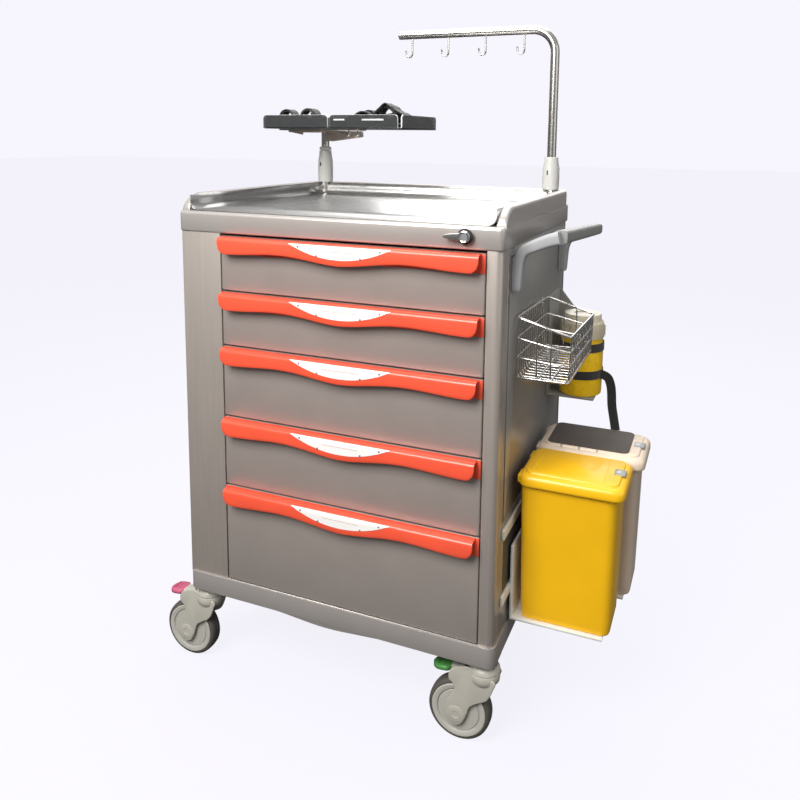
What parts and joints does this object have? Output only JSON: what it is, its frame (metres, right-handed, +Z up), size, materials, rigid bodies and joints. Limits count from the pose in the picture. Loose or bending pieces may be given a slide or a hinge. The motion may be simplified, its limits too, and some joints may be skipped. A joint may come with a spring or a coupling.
{
  "type": "emergency trolley",
  "caption": "Hospital emergency trolley with a stack of pull-out drawers, guarded worktop, drip pole, monitor shelf, push handle, basket, sharps jar and lidded waste bins.",
  "frame": {"origin": "on the floor, under the centre of the whole object's bounding box, fittings included", "axes": "+X to the side that carries the push handle and bins, +Y to the back, +Z up; the drawers open towards -Y"},
  "size_m": [0.96, 0.617, 1.366],
  "materials": {
    "silver_plastic": "satin metallic",
    "column_silver": "brushed",
    "side_grey": "satin",
    "liner_white": "gloss",
    "zinc_steel": "satin",
    "lock_chrome": "polished",
    "light_grey_plastic": "satin",
    "grip_grey": "satin",
    "stainless": "polished",
    "clear_acrylic": "gloss",
    "strap_black": "woven",
    "basket_chrome": "polished",
    "bracket_grey": "satin",
    "sharps_yellow": "gloss",
    "sharps_lid": "translucent satin",
    "carrier_white": "satin",
    "bin_yellow": "satin",
    "bin_beige": "satin",
    "insert_grey": "textured",
    "drawer_grey": "matte",
    "front_silver": "satin metallic",
    "pull_coral": "satin",
    "label_white": "satin",
    "castor_grey": "satin",
    "wheel_tyre": "matte",
    "pedal_pink": "satin",
    "pedal_green": "satin"
  },
  "bodies": {
    "cabinet": {"base_tray": "silver_plastic", "left_column": "column_silver", "right_column": "column_silver", "side_shell": "side_grey", "back_panel": "side_grey", "worktop": "silver_plastic", "worktop_liner": "liner_white", "drawer_runners": "zinc_steel", "castor_mounts": "zinc_steel", "lock_body": "lock_chrome", "handle_arms": "light_grey_plastic", "handle_grip": "grip_grey", "post_sockets": "light_grey_plastic", "jar_bracket": "bracket_grey", "jar_body": "sharps_yellow", "jar_strap": "strap_black", "bin_carrier": "carrier_white"},
    "lock": {"lock_lever": "lock_chrome"},
    "drip": {"drip_pole": "stainless", "drip_hooks": "stainless"},
    "shelf": {"shelf_post": "stainless", "shelf_tray": "clear_acrylic", "shelf_straps": "strap_black"},
    "basket": {"basket": "basket_chrome"},
    "jar_cap": {"jar_lid": "sharps_lid"},
    "bin_front": {"bin_front_body": "bin_yellow"},
    "bin_front_cover": {"bin_front_lid": "bin_yellow"},
    "bin_rear": {"bin_rear_body": "bin_beige"},
    "bin_rear_cover": {"bin_rear_lid": "bin_beige", "bin_rear_insert": "insert_grey"},
    "drawer_1": {"drawer_1_box": "drawer_grey", "drawer_1_front": "front_silver", "drawer_1_pull": "pull_coral", "drawer_1_label": "label_white"},
    "drawer_2": {"drawer_2_box": "drawer_grey", "drawer_2_front": "front_silver", "drawer_2_pull": "pull_coral", "drawer_2_label": "label_white"},
    "drawer_3": {"drawer_3_box": "drawer_grey", "drawer_3_front": "front_silver", "drawer_3_pull": "pull_coral", "drawer_3_label": "label_white"},
    "drawer_4": {"drawer_4_box": "drawer_grey", "drawer_4_front": "front_silver", "drawer_4_pull": "pull_coral", "drawer_4_label": "label_white"},
    "drawer_5": {"drawer_5_box": "drawer_grey", "drawer_5_front": "front_silver", "drawer_5_pull": "pull_coral", "drawer_5_label": "label_white"},
    "castor_fl": {"fork_fl": "castor_grey"},
    "roller_fl": {"wheel_fl": "wheel_tyre"},
    "brake_fl": {"pedal_fl": "pedal_pink"},
    "castor_fr": {"fork_fr": "castor_grey"},
    "roller_fr": {"wheel_fr": "wheel_tyre"},
    "brake_fr": {"pedal_fr": "pedal_green"},
    "castor_rl": {"fork_rl": "castor_grey"},
    "roller_rl": {"wheel_rl": "wheel_tyre"},
    "castor_rr": {"fork_rr": "castor_grey"},
    "roller_rr": {"wheel_rr": "wheel_tyre"}
  },
  "joints": [
    {"name": "lock_turn", "type": "hinge", "parent": "cabinet", "child": "lock", "pos_m": [0.191, -0.2995, 0.951], "axis": [0, 1, 0], "range_deg": [0, 90]},
    {"name": "drip_swing", "type": "hinge", "parent": "cabinet", "child": "drip", "pos_m": [0.217, 0.2425, 1], "axis": [0, 0, 1], "range_deg": [-90, 90]},
    {"name": "shelf_swing", "type": "hinge", "parent": "cabinet", "child": "shelf", "pos_m": [-0.363, 0.2425, 1], "axis": [0, 0, 1], "range_deg": [-90, 90]},
    {"name": "basket_lift", "type": "slide", "parent": "cabinet", "child": "basket", "axis": [0, 0, 1], "range_m": [0, 0.04]},
    {"name": "jar_cap_lift", "type": "slide", "parent": "cabinet", "child": "jar_cap", "axis": [0, 0, 1], "range_m": [0, 0.06]},
    {"name": "bin_front_slide", "type": "slide", "parent": "cabinet", "child": "bin_front", "axis": [1, 0, 0], "range_m": [0, 0.19]},
    {"name": "bin_rear_slide", "type": "slide", "parent": "cabinet", "child": "bin_rear", "axis": [1, 0, 0], "range_m": [0, 0.19]},
    {"name": "bin_front_hinge", "type": "hinge", "parent": "bin_front", "child": "bin_front_cover", "pos_m": [0.27, -0.1275, 0.4925], "axis": [0, -1, 0], "range_deg": [0, 55]},
    {"name": "bin_rear_hinge", "type": "hinge", "parent": "bin_rear", "child": "bin_rear_cover", "pos_m": [0.27, 0.0205, 0.4925], "axis": [0, -1, 0], "range_deg": [0, 55]},
    {"name": "drawer_1_slide", "type": "slide", "parent": "cabinet", "child": "drawer_1", "axis": [0, -1, 0], "range_m": [0, 0.38]},
    {"name": "drawer_2_slide", "type": "slide", "parent": "cabinet", "child": "drawer_2", "axis": [0, -1, 0], "range_m": [0, 0.38]},
    {"name": "drawer_3_slide", "type": "slide", "parent": "cabinet", "child": "drawer_3", "axis": [0, -1, 0], "range_m": [0, 0.38]},
    {"name": "drawer_4_slide", "type": "slide", "parent": "cabinet", "child": "drawer_4", "axis": [0, -1, 0], "range_m": [0, 0.38]},
    {"name": "drawer_5_slide", "type": "slide", "parent": "cabinet", "child": "drawer_5", "axis": [0, -1, 0], "range_m": [0, 0.38]},
    {"name": "swivel_fl", "type": "hinge", "parent": "cabinet", "child": "castor_fl", "pos_m": [-0.378, -0.2525, 0.153], "axis": [0, 0, 1], "continuous": true},
    {"name": "roll_fl", "type": "hinge", "parent": "castor_fl", "child": "roller_fl", "pos_m": [-0.423, -0.2525, 0.06], "axis": [0, 1, 0], "continuous": true},
    {"name": "pedal_fl_press", "type": "hinge", "parent": "castor_fl", "child": "brake_fl", "pos_m": [-0.419, -0.2525, 0.1404], "axis": [0, 1, 0], "range_deg": [-10, 0]},
    {"name": "swivel_fr", "type": "hinge", "parent": "cabinet", "child": "castor_fr", "pos_m": [0.232, -0.2525, 0.153], "axis": [0, 0, 1], "continuous": true},
    {"name": "roll_fr", "type": "hinge", "parent": "castor_fr", "child": "roller_fr", "pos_m": [0.187, -0.2525, 0.06], "axis": [0, 1, 0], "continuous": true},
    {"name": "pedal_fr_press", "type": "hinge", "parent": "castor_fr", "child": "brake_fr", "pos_m": [0.191, -0.2525, 0.1404], "axis": [0, 1, 0], "range_deg": [-10, 0]},
    {"name": "swivel_rl", "type": "hinge", "parent": "cabinet", "child": "castor_rl", "pos_m": [-0.378, 0.2075, 0.153], "axis": [0, 0, 1], "continuous": true},
    {"name": "roll_rl", "type": "hinge", "parent": "castor_rl", "child": "roller_rl", "pos_m": [-0.423, 0.2075, 0.06], "axis": [0, 1, 0], "continuous": true},
    {"name": "swivel_rr", "type": "hinge", "parent": "cabinet", "child": "castor_rr", "pos_m": [0.232, 0.2075, 0.153], "axis": [0, 0, 1], "continuous": true},
    {"name": "roll_rr", "type": "hinge", "parent": "castor_rr", "child": "roller_rr", "pos_m": [0.187, 0.2075, 0.06], "axis": [0, 1, 0], "continuous": true}
  ]
}
